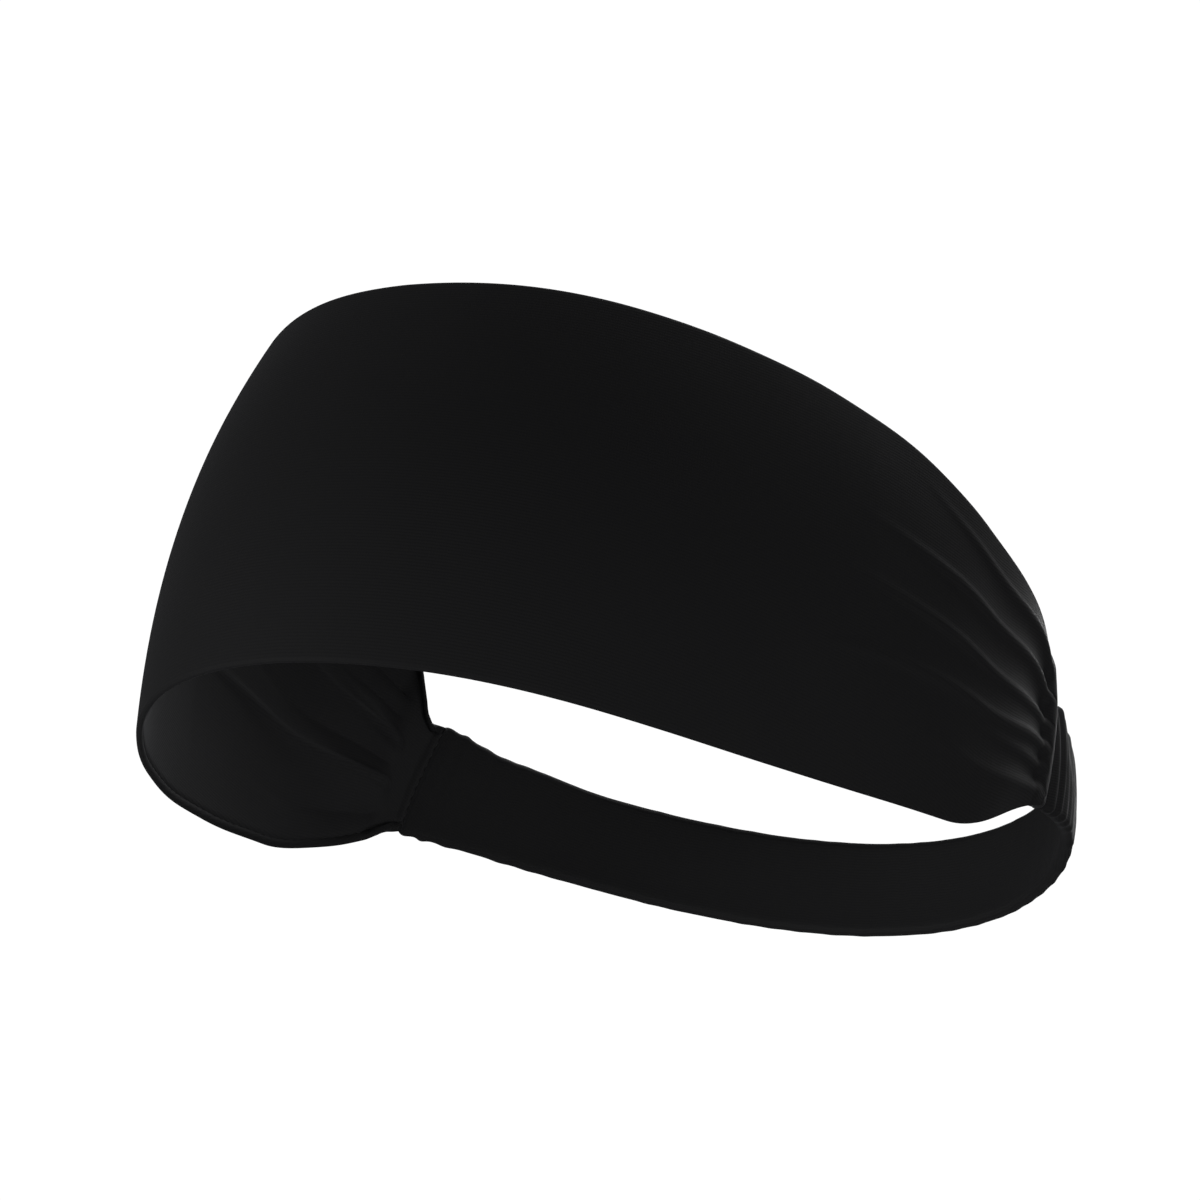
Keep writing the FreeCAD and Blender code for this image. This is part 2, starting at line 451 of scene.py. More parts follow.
@dataclass
class Section:
    """A row of points across the cloth, each set by its place from a rim and its layer.

    A point lies at inset + rise * height above the lower rim, and at layer * half the local
    thickness + lift off the middle. Swell says how far a pucker pushes it past its rim.
    """

    inset: Array = field(default_factory=lambda: np.zeros(0))
    rise: Array = field(default_factory=lambda: np.zeros(0))
    layer: Array = field(default_factory=lambda: np.zeros(0))
    lift: Array = field(default_factory=lambda: np.zeros(0))
    swell: Array = field(default_factory=lambda: np.zeros(0))

    def add(self, inset: Array, rise: float | Array, layer: float | Array,
            lift: float | Array = 0.0, swell: float | Array = 0.0) -> "Section":
        """Append points.

        Args:
            inset: Distances above the lower rim, or above the upper rim where rise is 1.
            rise: Shares of the cloth's height that are added.
            layer: Multiples of half the local thickness.
            lift: Further distances off the middle.
            swell: How far a pucker pushes each point past its rim.

        Returns:
            The section itself.
        """
        for name, value in (("inset", inset), ("rise", rise), ("layer", layer),
                            ("lift", lift), ("swell", swell)):
            spread = np.broadcast_to(np.asarray(value, float), inset.shape)
            setattr(self, name, np.concatenate([getattr(self, name), spread]))
        return self

    def shares(self, height: Array, inset: float | Array = 0.0) -> Array:
        """Each point's share across cloth of a height, all kept in from the rims by an inset."""
        return (inset + self.inset + self.rise * (height - 2 * inset)) / height

    def arc(self, radius: float, upper: bool, first: float, last: float,
            count: int) -> "Section":
        """Append a rounded rim.

        Args:
            radius: How far the rim's curve reaches in from its edge.
            upper: Whether it is the upper rim.
            first: Where the curve starts, in degrees: 90 is the outer face, -90 the inner.
            last: Where it ends.
            count: How many points it has.

        Returns:
            The section itself.
        """
        turn = np.radians(np.linspace(first, last, count))
        reach = radius * (1 - np.cos(turn))
        if upper:
            return self.add(-reach, 1.0, np.sin(turn), 0.0, np.cos(turn))
        return self.add(reach, 0.0, np.sin(turn), 0.0, -np.cos(turn))

    def face(self, radius: float, layer: float, upwards: bool, count: int,
             lift: float = 0.0) -> "Section":
        """Append an even run across the face, without its two end points.

        Args:
            radius: How far the face stays in from each rim.
            layer: Which side of the middle it is on.
            upwards: Whether it runs from the lower rim to the upper one.
            count: How many points it has.
            lift: A further distance off the middle.

        Returns:
            The section itself.
        """
        run = np.linspace(0, 1, count + 2)[1:-1]
        run = run if upwards else run[::-1]
        return self.add(radius * (1 - 2 * run), run, layer, lift)


    @classmethod
    def flat_tube(cls, radius: float, rows: int, points: int) -> "Section":
        """The closed outline of a flat tube, from its lower edge up the outer face and back.

        Args:
            radius: How far each rim's curve reaches in from its edge.
            rows: How many points each face has.
            points: How many points each rim has.

        Returns:
            The section.
        """
        section = cls().arc(radius, False, -90, 90, points).face(radius, 1.0, True, rows)
        section.arc(radius, True, 90, -90, points).face(radius, -1.0, False, rows)
        return section.arc(radius, False, -90, -90, 1)


class Weaver:
    """Turns grids into cloth, sleeves and threads on the folded surface."""

    @staticmethod
    def lay(name: str, points: Array, closed: bool = False, capped: bool = False,
            anchor: int | None = None) -> Object:
        """Lay a bmesh grid through rows of points.

        Args:
            name: The piece's name.
            points: Points by column along the ring, then by row across it.
            closed: Whether the last row meets the first, as on a sleeve or thread.
            capped: Whether the two ends are filled.
            anchor: The row where the cloth's own width coordinate is 0.

        Returns:
            The new object, with a UV map in metres of cloth.
        """
        columns, rows = points.shape[0] - 1, points.shape[1] - 1
        widths = np.linalg.norm(np.diff(points, axis=1), axis=2)
        width = np.concatenate([np.zeros((columns + 1, 1)), np.cumsum(widths, axis=1)], axis=1)
        anchor = rows // 2 if anchor is None else anchor
        width = width - width[:, anchor:anchor + 1]
        lengths = np.linalg.norm(np.diff(points[:, anchor], axis=0), axis=1)
        length = np.concatenate([[0.0], np.cumsum(lengths)])
        length = np.broadcast_to((length - length[-1] / 2)[:, None], width.shape)

        work = bmesh.new()
        work.loops.layers.uv.new("cloth")
        bmesh.ops.create_grid(work, x_segments=columns, y_segments=rows, size=0.5)
        uv_map = work.loops.layers.uv.active
        cells = {vert: (round((vert.co.x + 0.5) * columns), round((vert.co.y + 0.5) * rows))
                 for vert in work.verts}
        for face in work.faces:
            for loop in face.loops:
                cell = cells[loop.vert]
                loop[uv_map].uv = (length[cell], width[cell])
        for vert, cell in cells.items():
            vert.co = points[cell]
        if closed:
            bmesh.ops.remove_doubles(work, verts=work.verts, dist=1e-7)
        if capped:
            rims = [edge for edge in work.edges if edge.is_boundary]
            bmesh.ops.holes_fill(work, edges=rims, sides=0)
        if closed and capped:
            bmesh.ops.recalc_face_normals(work, faces=work.faces)
        for face in work.faces:
            face.smooth = True
        mesh = bpy.data.meshes.new(name)
        work.to_mesh(mesh)
        work.free()
        return add_object(name, mesh)

    @classmethod
    def thread(cls, name: str, line: Array, radius: float,
               sides: int = 7) -> Object:
        """Lay a thread, closed at both ends.

        Args:
            name: The piece's name.
            line: The thread's middle line.
            radius: Its radius.
            sides: How many points go round it.

        Returns:
            The new object.
        """
        step = np.gradient(line, axis=0)
        step = step / np.linalg.norm(step, axis=1, keepdims=True)
        off_centre = line - line.mean(axis=0) + np.array([0.0, 0.0, 0.1 * MM])
        side = np.cross(step, off_centre)
        side = side / np.linalg.norm(side, axis=1, keepdims=True)
        up = np.cross(side, step)
        turn = np.linspace(0, 2 * math.pi, sides + 1)
        ring = (np.cos(turn)[None, :, None] * side[:, None]
                + np.sin(turn)[None, :, None] * up[:, None])
        return cls.lay(name, line[:, None] + radius * ring, True, True)

    @staticmethod
    def thicken(piece: Object, thickness: float) -> None:
        """Give cloth its thickness, half to each side.

        Args:
            piece: The sheet.
            thickness: How thick it becomes.
        """
        wall = piece.modifiers.new("cloth_thickness", "SOLIDIFY")
        wall.thickness = thickness
        wall.offset = 0.0
        wall.use_rim = True
        wall.use_even_offset = False


class Layer(Enum):
    """Which side of the middle surface a layer of the panel is on."""

    OUTER = 1.0
    LINING = -1.0


@dataclass
class Panel:
    """The two layers of the front panel and the seam threads inside its rims."""

    cloth: Cloth
    thickness: float = 0.42 * MM
    half_gap: float = 0.42 * MM
    rim_radius: float = 0.62 * MM
    rim_points: int = 9
    turn_in: float = 1.35 * MM
    tail_points: int = 4
    tail_dip: float = 0.38 * MM
    lining_inset: float = 1.5 * MM
    lining_turn: float = 0.9 * MM
    lining_dip: float = 0.36 * MM
    lining_points: int = 5
    roll: float = 1.7 * MM
    lining_roll: float = 0.5 * MM
    roll_start: float = 8.8 * MM
    roll_crest: float = 5.4 * MM
    seam_half_gap: float = 0.22 * MM
    columns: int = 330
    face_rows: int = 104
    density: float = 0.33
    thread_radius: float = 0.19 * MM
    stitch: float = 2.4 * MM
    seam_columns: int = 1800
    seam_sink: float = 0.15
    stitch_dip: float = 0.08 * MM

    def angles(self, columns: int) -> Array:
        """Angles of the columns, closer together towards the necks."""
        run = np.linspace(-1, 1, columns + 1)
        return self.cloth.ring.neck_angle * ((1 + self.density) * run - self.density * run ** 3)

    def offset(self, angle: Array, layer: Layer) -> Array:
        """How far a layer stands off the middle surface.

        Args:
            angle: Angles round the ring.
            layer: Which layer.

        Returns:
            Distances, all above 0.
        """
        before = -self.cloth.ring.past_seam(angle)
        roll = self.roll if layer is Layer.OUTER else self.lining_roll
        rising = smooth((self.roll_start - before) / (self.roll_start - self.roll_crest))
        falling = np.sin(math.pi / 2 * np.clip(before / self.roll_crest, 0.0, 1.0))
        full = self.half_gap + roll * rising
        return self.seam_half_gap + (full - self.seam_half_gap) * falling

    def lay(self, name: str, section: Section, layer: Layer) -> Object:
        """Lay one layer of cloth from neck to neck.

        Args:
            name: The piece's name.
            section: The row of points across the cloth.
            layer: Which layer.

        Returns:
            The new object.
        """
        angle = self.angles(self.columns)[:, None]
        share = section.shares(self.cloth.ring.height(angle))
        offset = section.layer * self.offset(angle, layer) + section.lift
        angle = np.broadcast_to(angle, share.shape)
        piece = Weaver.lay(name, self.cloth.place(angle, share, offset))
        Weaver.thicken(piece, self.thickness)
        return piece

    def outer_section(self) -> Section:
        """The outer cloth, turned in round both rims.

        Returns:
            Its row of points.
        """
        tail = np.linspace(1, 0, self.tail_points, endpoint=False)
        depth = self.rim_radius + (self.turn_in - self.rim_radius) * tail
        dip = self.tail_dip * tail ** 2
        section = Section().add(depth, 0.0, Layer.LINING.value, dip)
        section.arc(self.rim_radius, False, -90, 90, self.rim_points)
        section.face(self.rim_radius, Layer.OUTER.value, True, self.face_rows)
        section.arc(self.rim_radius, True, 90, -90, self.rim_points)
        return section.add(-depth[::-1], 1.0, Layer.LINING.value, dip[::-1])

    def lining_section(self) -> Section:
        """The lining, with its edges turned down into the rims' grooves.

        Returns:
            Its row of points.
        """
        edge = np.linspace(1, 0, self.lining_points)
        depth = self.lining_inset + self.lining_turn * (1 - edge)
        dip = self.lining_dip * edge ** 2
        side = Layer.LINING.value
        section = Section().add(depth, 0.0, side, dip)
        section.face(self.lining_inset + self.lining_turn, side, True, self.face_rows)
        return section.add(-depth[::-1], 1.0, side, dip[::-1])

    def rim_seam(self, name: str, upper: bool) -> Object:
        """The row of stitches in the groove between the turned rim and the lining.

        Args:
            name: The piece's name.
            upper: Whether it runs along the upper rim.

        Returns:
            The new object.
        """
        angle = self.angles(self.seam_columns)[2:-2]
        height = self.cloth.ring.height(angle)
        inset = (self.turn_in + self.lining_inset) / 2 / height
        share = 1 - inset if upper else inset
        run = self.cloth.ring.along(angle) / self.stitch * math.pi
        depth = (-self.seam_sink * self.offset(angle, Layer.LINING)
                 - self.stitch_dip * np.abs(np.sin(run)))
        return Weaver.thread(name, self.cloth.place(angle, share, depth), self.thread_radius)

    def build(self) -> dict[str, Object]:
        """The panel's pieces by name.

        Returns:
            The new objects.
        """
        return {"outer": self.lay("panel_outer", self.outer_section(), Layer.OUTER),
                "lining": self.lay("panel_inner_lining", self.lining_section(), Layer.LINING),
                "lower": self.rim_seam("rim_seam_lower", False),
                "upper": self.rim_seam("rim_seam_upper", True)}


@dataclass(frozen=True)
class CrossRow:
    """A row of stitches across the cloth from rim to rim."""

    radius: float
    pitch: float
    depth: float
    points: int

    def lay(self, cloth: Cloth, name: str, angle: float, inset: float,
            offset: float) -> Object:
        """Lay the row.

        Args:
            cloth: The surface that it lies on.
            name: The piece's name.
            angle: Its place round the ring.
            inset: How far it stays in from each rim.
            offset: How far it lies off the middle surface.

        Returns:
            The new object.
        """
        around = np.full(self.points, angle)
        height = cloth.ring.height(around)
        ends = inset / height
        share = ends + (1 - 2 * ends) * np.linspace(0, 1, self.points)
        wave = self.depth * turns(share * height, self.pitch)
        return Weaver.thread(name, cloth.place(around, share, offset + wave), self.radius)


@dataclass
class Neck:
    """What is sewn inside one gathered end of the panel."""

    cloth: Cloth
    hand: int
    name: str
    allowance_half: float = 0.30 * MM
    allowance_length: float = 6.0 * MM
    allowance_start: float = 0.5 * MM
    columns: int = 15
    face_rows: int = 30
    rim_points: int = 5
    edge_inset: float = 2.2 * MM
    seam: CrossRow = CrossRow(0.24 * MM, 2.2 * MM, 0.12 * MM, 141)
    gather: CrossRow = CrossRow(0.12 * MM, 2.2 * MM, 0.12 * MM, 141)
    gather_rows: tuple[float, ...] = (2.6 * MM, 4.8 * MM)
    gather_clear: float = 0.14 * MM
    thread_inset: float = 1.1 * MM
    table_start: float = 60.0
    table_size: int = 1201

    def angle_at(self, past: Array) -> Array:
        """The signed angle at a length past the neck's seam."""
        table = np.linspace(self.table_start, BACK, self.table_size)
        return self.hand * np.interp(past, self.cloth.ring.past_seam(table), table)

    def allowance(self) -> Object:
        """The raw ends of both layers, turned in behind the seam.

        Returns:
            The new object.
        """
        section = Section.flat_tube(self.allowance_half, self.face_rows, self.rim_points)
        past = -np.linspace(self.allowance_start + self.allowance_length,
                            self.allowance_start, self.columns + 1)
        angle = self.angle_at(past)
        angle = (angle if self.hand > 0 else angle[::-1])[:, None]
        height = self.cloth.ring.height(angle)
        share = section.shares(height, self.edge_inset)
        offset = section.layer * self.allowance_half * np.ones_like(height)
        points = self.cloth.place(np.broadcast_to(angle, share.shape), share, offset)
        return Weaver.lay(f"neck_allowance_{self.name}", points, True, True)

    def cross(self, row: CrossRow, name: str, past: float, offset: float) -> Object:
        """Lay a row of stitches across the neck at a length past its seam."""
        angle = float(self.angle_at(np.array(past)))
        return row.lay(self.cloth, name, angle, self.thread_inset, offset)

    def build(self) -> dict[str, Object]:
        """The neck's pieces by name.

        Returns:
            The new objects.
        """
        clear = self.allowance_half + self.gather_clear
        rows = [self.cross(self.gather, f"neck_gather_row_{self.name}_{number}", -past, clear)
                for number, past in enumerate(self.gather_rows, 1)]
        return {"allowance": self.allowance(), "first_row": rows[0], "second_row": rows[1],
                "seam": self.cross(self.seam, f"neck_seam_thread_{self.name}", 0.0, 0.0)}


@dataclass(frozen=True)
class Pucker:
    """One small rib across the sleeve."""

    place: float
    height: float
    width: float
    slant: float
    middle: float
    reach: float

    def relief(self, past: Array, share: Array) -> Array:
        """How far the rib lifts the sleeve's wall.

        Args:
            past: Lengths along the band from its start.
            share: Shares across the band.

        Returns:
            The outward move at each place.
        """
        along = hump(past - self.slant * (share - 0.5), self.place, self.width)
        across = np.exp(-((share - self.middle) / self.reach) ** 4)
        return self.height * along * across


@dataclass
class Band:
    """The ruched sleeve at the back, with the elastic and the threads that hold it."""

    cloth: Cloth
    cloth_thickness: float = 0.42 * MM
    half_thickness: float = 1.05 * MM
    seam_half: float = 0.18 * MM
    edge_radius: float = 0.95 * MM
    start_gap: float = 0.12 * MM
    opening_run: float = 9.0 * MM
    columns: int = 520
    face_rows: int = 18
    rim_points: int = 9
    table_size: int = 1401

    neck_rib_pitch: float = 4.0 * MM
    first_rib: float = 0.75
    last_rib_gap: float = 1.5 * MM
    neck_rib_height: float = 1.0 * MM
    far_rib_height: float = 0.17 * MM
    inner_calm: float = 0.3
    neck_run: float = 17 * MM
    rib_start: float = 1.8 * MM
    rib_width: float = 1.1
    rib_slant: float = 0.9
    rim_swell: float = 0.75
    far_widening: float = 0.6
    far_spacing: float = 0.5
    far_whole: float = 0.35
    part_middles: tuple[float, ...] = (0.08, 0.3, 0.72, 0.95)
    part_reach: tuple[float, float] = (0.22, 0.42)
    height_spread: tuple[float, float] = (0.75, 1.2)
    width_spread: tuple[float, float] = (0.85, 1.25)
    pitch_spread: tuple[float, float] = (0.8, 1.25)
    seed: int = 11

    elastic_half: float = 0.5 * MM
    elastic_height: float = 15 * MM
    elastic_gap: float = 1.0 * MM
    elastic_columns: int = 260
    elastic_rows: int = 40
    cord_pitch: float = 1.25 * MM
    cord_height: float = 0.06 * MM

    seam_columns: int = 1500
    seam_gap: float = 3.5 * MM
    seam_inset: float = 1.35 * MM
    seam_stitch: float = 2.2 * MM
    seam_wave: float = 0.1 * MM
    seam_radius: float = 0.2 * MM

    tack_row: CrossRow = CrossRow(0.1 * MM, 2 * MM, 0.03 * MM, 91)
    tack_start: float = 1.4
    tack_step: float = 2.0
    tack_inset: float = 0.6 * MM
    tack_clear: float = 0.19 * MM

    def length(self) -> float:
        """Length of the band from seam to seam."""
        ring = self.cloth.ring
        return 2 * float(ring.past_seam(np.array(BACK)))

    def angles(self, columns: int, inset: float) -> Array:
        """Angles of the columns from one neck round the back to the other.

        Args:
            columns: How many spaces there are between them.
            inset: How far the first and last stay off the seams.

        Returns:
            The angles.
        """
        neck = self.cloth.ring.neck_angle
        past = np.linspace(inset, self.length() - inset, columns + 1)
        table = np.linspace(neck, 2 * BACK - neck, self.table_size)
        return np.interp(past, self.past(table), table)

    def past(self, angle: Array) -> Array:
        """Length round the band from its left seam."""
        ring = self.cloth.ring
        return ring.along(angle) - float(ring.along(np.array(ring.neck_angle)))

    def puckers(self, inner: bool) -> list[Pucker]:
        """The ribs of one face, close and tall at the necks and faint at the back.

        Args:
            inner: Whether they are on the face towards the head.

        Returns:
            The ribs.
        """
        draw = np.random.default_rng(self.seed + inner)
        length, place, ribs = self.length(), self.neck_rib_pitch * self.first_rib, []
        calm = self.inner_calm if inner else 1.0
        while place < length - self.last_rib_gap:
            near = min(place, length - place)
            neck = math.exp(-(near / self.neck_run) ** 2)
            height = self.far_rib_height + (self.neck_rib_height - self.far_rib_height) * neck
            height *= calm * draw.uniform(*self.height_spread)
            whole = draw.uniform() < self.far_whole + (1 - self.far_whole) * neck
            middle = 0.5 if whole else draw.choice(self.part_middles)
            reach = 1.0 if whole else draw.uniform(*self.part_reach)
            width = self.rib_width + self.far_widening * (1 - neck)
            width *= draw.uniform(*self.width_spread) * MM
            slant = draw.normal(0, self.rib_slant) * MM
            ribs.append(Pucker(place, height, width, slant, middle, reach))
            pitch = self.neck_rib_pitch * (1 + self.far_spacing * (1 - neck))
            place += pitch * draw.uniform(*self.pitch_spread)
        return ribs

    def sleeve(self) -> Object:
        """The ruched sleeve.

        Returns:
            The new object.
        """
        section = Section.flat_tube(self.edge_radius, self.face_rows, self.rim_points)
        angle = self.angles(self.columns, self.start_gap)[:, None]
        height = self.cloth.ring.height(angle)
        past = self.past(angle)
        near = np.minimum(past, self.length() - past)
        open_up = np.sin(math.pi / 2 * np.clip(near / self.opening_run, 0.0, 1.0))
        half = self.seam_half + (self.half_thickness - self.seam_half) * open_up
        share = section.shares(height)
        outer, inner = (sum(rib.relief(past, share) for rib in self.puckers(side))
                        for side in (False, True))
        face = (section.layer + 1) / 2
        lift = (outer * face + inner * (1 - face)) * smooth(near / self.rib_start)
        share = share + section.swell * lift * self.rim_swell / height
        offset = section.layer * (half + lift)
        points = self.cloth.place(np.broadcast_to(angle, share.shape), share, offset)
        piece = Weaver.lay("band_sleeve", points, True, False,
                           anchor=self.rim_points + self.face_rows // 2)
        Weaver.thicken(piece, self.cloth_thickness)
        return piece

    def elastic(self) -> Object:
        """The flat braided elastic inside the sleeve.

        Returns:
            The new object.
        """
        section = Section.flat_tube(self.elastic_half, self.elastic_rows, self.rim_points)
        angle = self.angles(self.elastic_columns, self.elastic_gap)[:, None]
        height = self.cloth.ring.height(angle)
        share = section.shares(height, (height - self.elastic_height) / 2)
        cords = self.cord_height * turns(share * height, self.cord_pitch)
        offset = section.layer * (self.elastic_half + cords)
        points = self.cloth.place(np.broadcast_to(angle, share.shape), share, offset)
        return Weaver.lay("band_inner_elastic", points, True, True)

    def long_seam(self) -> Object:
        """The seam that closes the sleeve, inside its lower edge.

        Returns:
            The new object.
        """
        angle = self.angles(self.seam_columns, self.seam_gap)
        share = self.seam_inset / self.cloth.ring.height(angle)
        wave = self.seam_wave * turns(self.cloth.ring.along(angle), self.seam_stitch)
        line = self.cloth.place(angle, share, wave)
        return Weaver.thread("sleeve_long_seam", line, self.seam_radius)

    def tack(self, name: str, hand: int, row: int) -> Object:
        """One row of stitches that holds the elastic's end.

        Args:
            name: The piece's name.
            hand: 1 on the wearer's left, -1 on the right.
            row: Which row, from 1 at the neck.

        Returns:
            The new object.
        """
        angle = hand * self.angles(2, (self.tack_start + self.tack_step * row) * MM)[0]
        inset = (self.cloth.ring.height(angle) - self.elastic_height) / 2 + self.tack_inset
        return self.tack_row.lay(self.cloth, name, float(angle), inset,
                                 self.elastic_half + self.tack_clear)

    def build(self) -> dict[str, Object]:
        """The band's pieces by name.

        Returns:
            The new objects.
        """
        made = {"sleeve": self.sleeve(), "elastic": self.elastic(), "seam": self.long_seam()}
        for side, hand in HANDS:
            for row in (1, 2):
                made[f"tack_{side}_{row}"] = self.tack(f"elastic_tack_row_{side}_{row}", hand, row)
        return made


class Wiring:
    """Adds nodes to one shader tree and links them."""

    def __init__(self, tree: NodeTree) -> None:
        """Take the tree to work on."""
        self.tree = tree

    def feed(self, socket: NodeSocket, value: object) -> None:
        """Link a socket to another one, or set its value.

        Args:
            socket: The input.
            value: A socket, a number or a colour.
        """
        if isinstance(value, NodeSocket):
            self.tree.links.new(value, socket)
        else:
            socket.default_value = value

    def node(self, kind: str, inputs: dict[str | int, object] | None = None,
             **values: object) -> Node:
        """Add a node.

        Args:
            kind: Its type.
            inputs: What feeds its inputs.
            values: Its properties.

        Returns:
            The node.
        """
        made = self.tree.nodes.new(kind)
        for name, value in values.items():
            setattr(made, name, value)
        for place, value in (inputs or {}).items():
            self.feed(made.inputs[place], value)
        return made

    def math(self, operation: str, *values: object) -> NodeSocket:
        """Do a sum with sockets and numbers, and return its result."""
        return self.node("ShaderNodeMath", dict(enumerate(values)), operation=operation).outputs[0]

    def mix(self, share: object, first: object, second: object) -> NodeSocket:
        """Blend two colours by a share of the second, and return the result."""
        inputs = {"Factor": share, "A": first, "B": second}
        return self.node("ShaderNodeMix", inputs, data_type="RGBA").outputs["Result"]

    def noise(self, vector: NodeSocket, scale: object, detail: float,
              roughness: float) -> NodeSocket:
        """Add a noise value between 0 and 1, and return it."""
        inputs = {"Vector": vector, "Scale": scale, "Detail": detail, "Roughness": roughness}
        return self.node("ShaderNodeTexNoise", inputs, noise_dimensions="3D").outputs["Fac"]


class Group(Wiring):
    """A shader node group under construction."""

    def __init__(self, name: str, inputs: dict[str, tuple[str, float | None]],
                 outputs: tuple[str, ...]) -> None:
        """Make the group's sockets.

        Args:
            name: The group's name.
            inputs: Each input's socket type and default, by name.
            outputs: The names of its outputs, all plain values.
        """
        super().__init__(bpy.data.node_groups.new(name, "ShaderNodeTree"))
        for label, (kind, default) in inputs.items():
            socket = self.tree.interface.new_socket(label, in_out="INPUT", socket_type=kind)
            if default is not None:
                socket.default_value = default
        for label in outputs:
            self.tree.interface.new_socket(label, in_out="OUTPUT", socket_type="NodeSocketFloat")
        self.source = self.node("NodeGroupInput").outputs
        self.sink = self.node("NodeGroupOutput").inputs


def knit_group() -> NodeTree:
    """The loops of a fine jersey knit, from cloth coordinates in metres.

    Returns:
        A group that puts out the loops' Height.
    """
    group = Group("jersey_loops", {"Cloth": ("NodeSocketVector", None),
                                   "Rib Pitch": ("NodeSocketFloat", 0.6 * MM),
                                   "Loop Pitch": ("NodeSocketFloat", 0.5 * MM),
                                   "Unevenness": ("NodeSocketFloat", 0.3)}, ("Height",))
    source, drift_scale, bead_depth = group.source, 160.0, 0.22
    place = group.node("ShaderNodeSeparateXYZ", {0: source["Cloth"]}).outputs
    drift = group.math("SUBTRACT", group.noise(source["Cloth"], drift_scale, 2.0, 0.5), 0.5)
    rib = group.math("ADD", group.math("DIVIDE", place["Y"], source["Rib Pitch"]),
                     group.math("MULTIPLY", drift, source["Unevenness"]))
    off = group.math("ABSOLUTE", group.math("SUBTRACT", group.math("FRACT", rib), 0.5))
    valley = group.math("MULTIPLY", group.math("MULTIPLY", off, off), 4.0)
    loop = group.math("DIVIDE", place["X"], source["Loop Pitch"])
    loop = group.math("COSINE", group.math("MULTIPLY", group.math("ADD", loop, off), 2 * math.pi))
    bead = group.math("MULTIPLY_ADD", loop, bead_depth, 1 - bead_depth)
    group.feed(group.sink["Height"],
               group.math("MULTIPLY", group.math("SUBTRACT", 1.0, valley), bead))
    return group.tree


def haze_group() -> NodeTree:
    """Uneven dye and raised fibre ends, from object coordinates.

    Returns:
        A group that puts out a Fine and a Broad value, both about 0.5.
    """
    group = Group("fibre_haze", {"Place": ("NodeSocketVector", None),
                                 "Fibre Scale": ("NodeSocketFloat", 2600.0),
                                 "Cloud Scale": ("NodeSocketFloat", 45.0)}, ("Fine", "Broad"))
    for name, scale, detail, roughness in (("Fine", "Fibre Scale", 2.0, 0.6),
                                           ("Broad", "Cloud Scale", 3.0, 0.55)):
        value = group.noise(group.source["Place"], group.source[scale], detail, roughness)
        group.feed(group.sink[name], value)
    return group.tree


@dataclass(frozen=True)
class KnitFinish:
    """How one kind of cloth or thread looks, with painted shade in the knit's valleys."""

    name: str
    slot: str
    # The darker of these two colours stands for dark clouds of uneven dye and for painted shade in
    # the knit's valleys; the lighter one for light clouds and for the loop tops, painted lighter.
    valley_shade_and_dark_dye: tuple[float, float, float]
    raised: tuple[float, float, float]
    roughness: float = 0.72
    specular: float = 0.06
    sheen: float = 0.010
    sheen_roughness: float = 0.35
    rib_pitch: float = 0.6 * MM
    loop_pitch: float = 0.5 * MM
    relief: float = 0.024 * MM
    unevenness: float = 0.35
    cloud: float = 0.25
    fuzz: float = 0.25
    roughness_spread: float = 0.08

    def material(self, knit: NodeTree, haze: NodeTree) -> Material:
        """Build the finish's material.

        Args:
            knit: The knit loops' node group.
            haze: The fibre haze's node group.

        Returns:
            The material.
        """
        made = bpy.data.materials.new(self.name)
        made.use_nodes = True
        wiring = Wiring(made.node_tree)
        where = wiring.node("ShaderNodeTexCoord").outputs
        loops = {"Cloth": where["UV"], "Rib Pitch": self.rib_pitch,
                 "Loop Pitch": self.loop_pitch, "Unevenness": self.unevenness}
        height = wiring.node("ShaderNodeGroup", loops, node_tree=knit).outputs["Height"]
        fibres = wiring.node("ShaderNodeGroup", {"Place": where["Object"]}, node_tree=haze).outputs
        # Painted shade: the base colour follows the loops' height, darker in their valleys and
        # lighter on their tops, blended with clouds of uneven dye.
        share = wiring.math("MULTIPLY_ADD", fibres["Broad"], self.cloud,
                            wiring.math("MULTIPLY", height, 1 - self.cloud))
        rough = wiring.node("ShaderNodeMapRange", {
            "Value": fibres["Fine"], "To Min": self.roughness - self.roughness_spread,
            "To Max": self.roughness + self.roughness_spread})
        bump = wiring.node("ShaderNodeBump", {
            "Strength": 1.0, "Distance": self.relief,
            "Height": wiring.math("MULTIPLY_ADD", fibres["Fine"], self.fuzz, height)})

        shader = made.node_tree.nodes["Principled BSDF"]
        shader.inputs["Specular IOR Level"].default_value = self.specular
        shader.inputs["Sheen Weight"].default_value = self.sheen
        shader.inputs["Sheen Roughness"].default_value = self.sheen_roughness
        shader.inputs["Sheen Tint"].default_value = (0.85, 0.88, 1.0, 1.0)
        colour = wiring.mix(share, (*self.valley_shade_and_dark_dye, 1.0), (*self.raised, 1.0))
        wiring.feed(shader.inputs["Base Color"], colour)
        wiring.feed(shader.inputs["Roughness"], rough.outputs["Result"])
        wiring.feed(shader.inputs["Normal"], bump.outputs["Normal"])
        return made


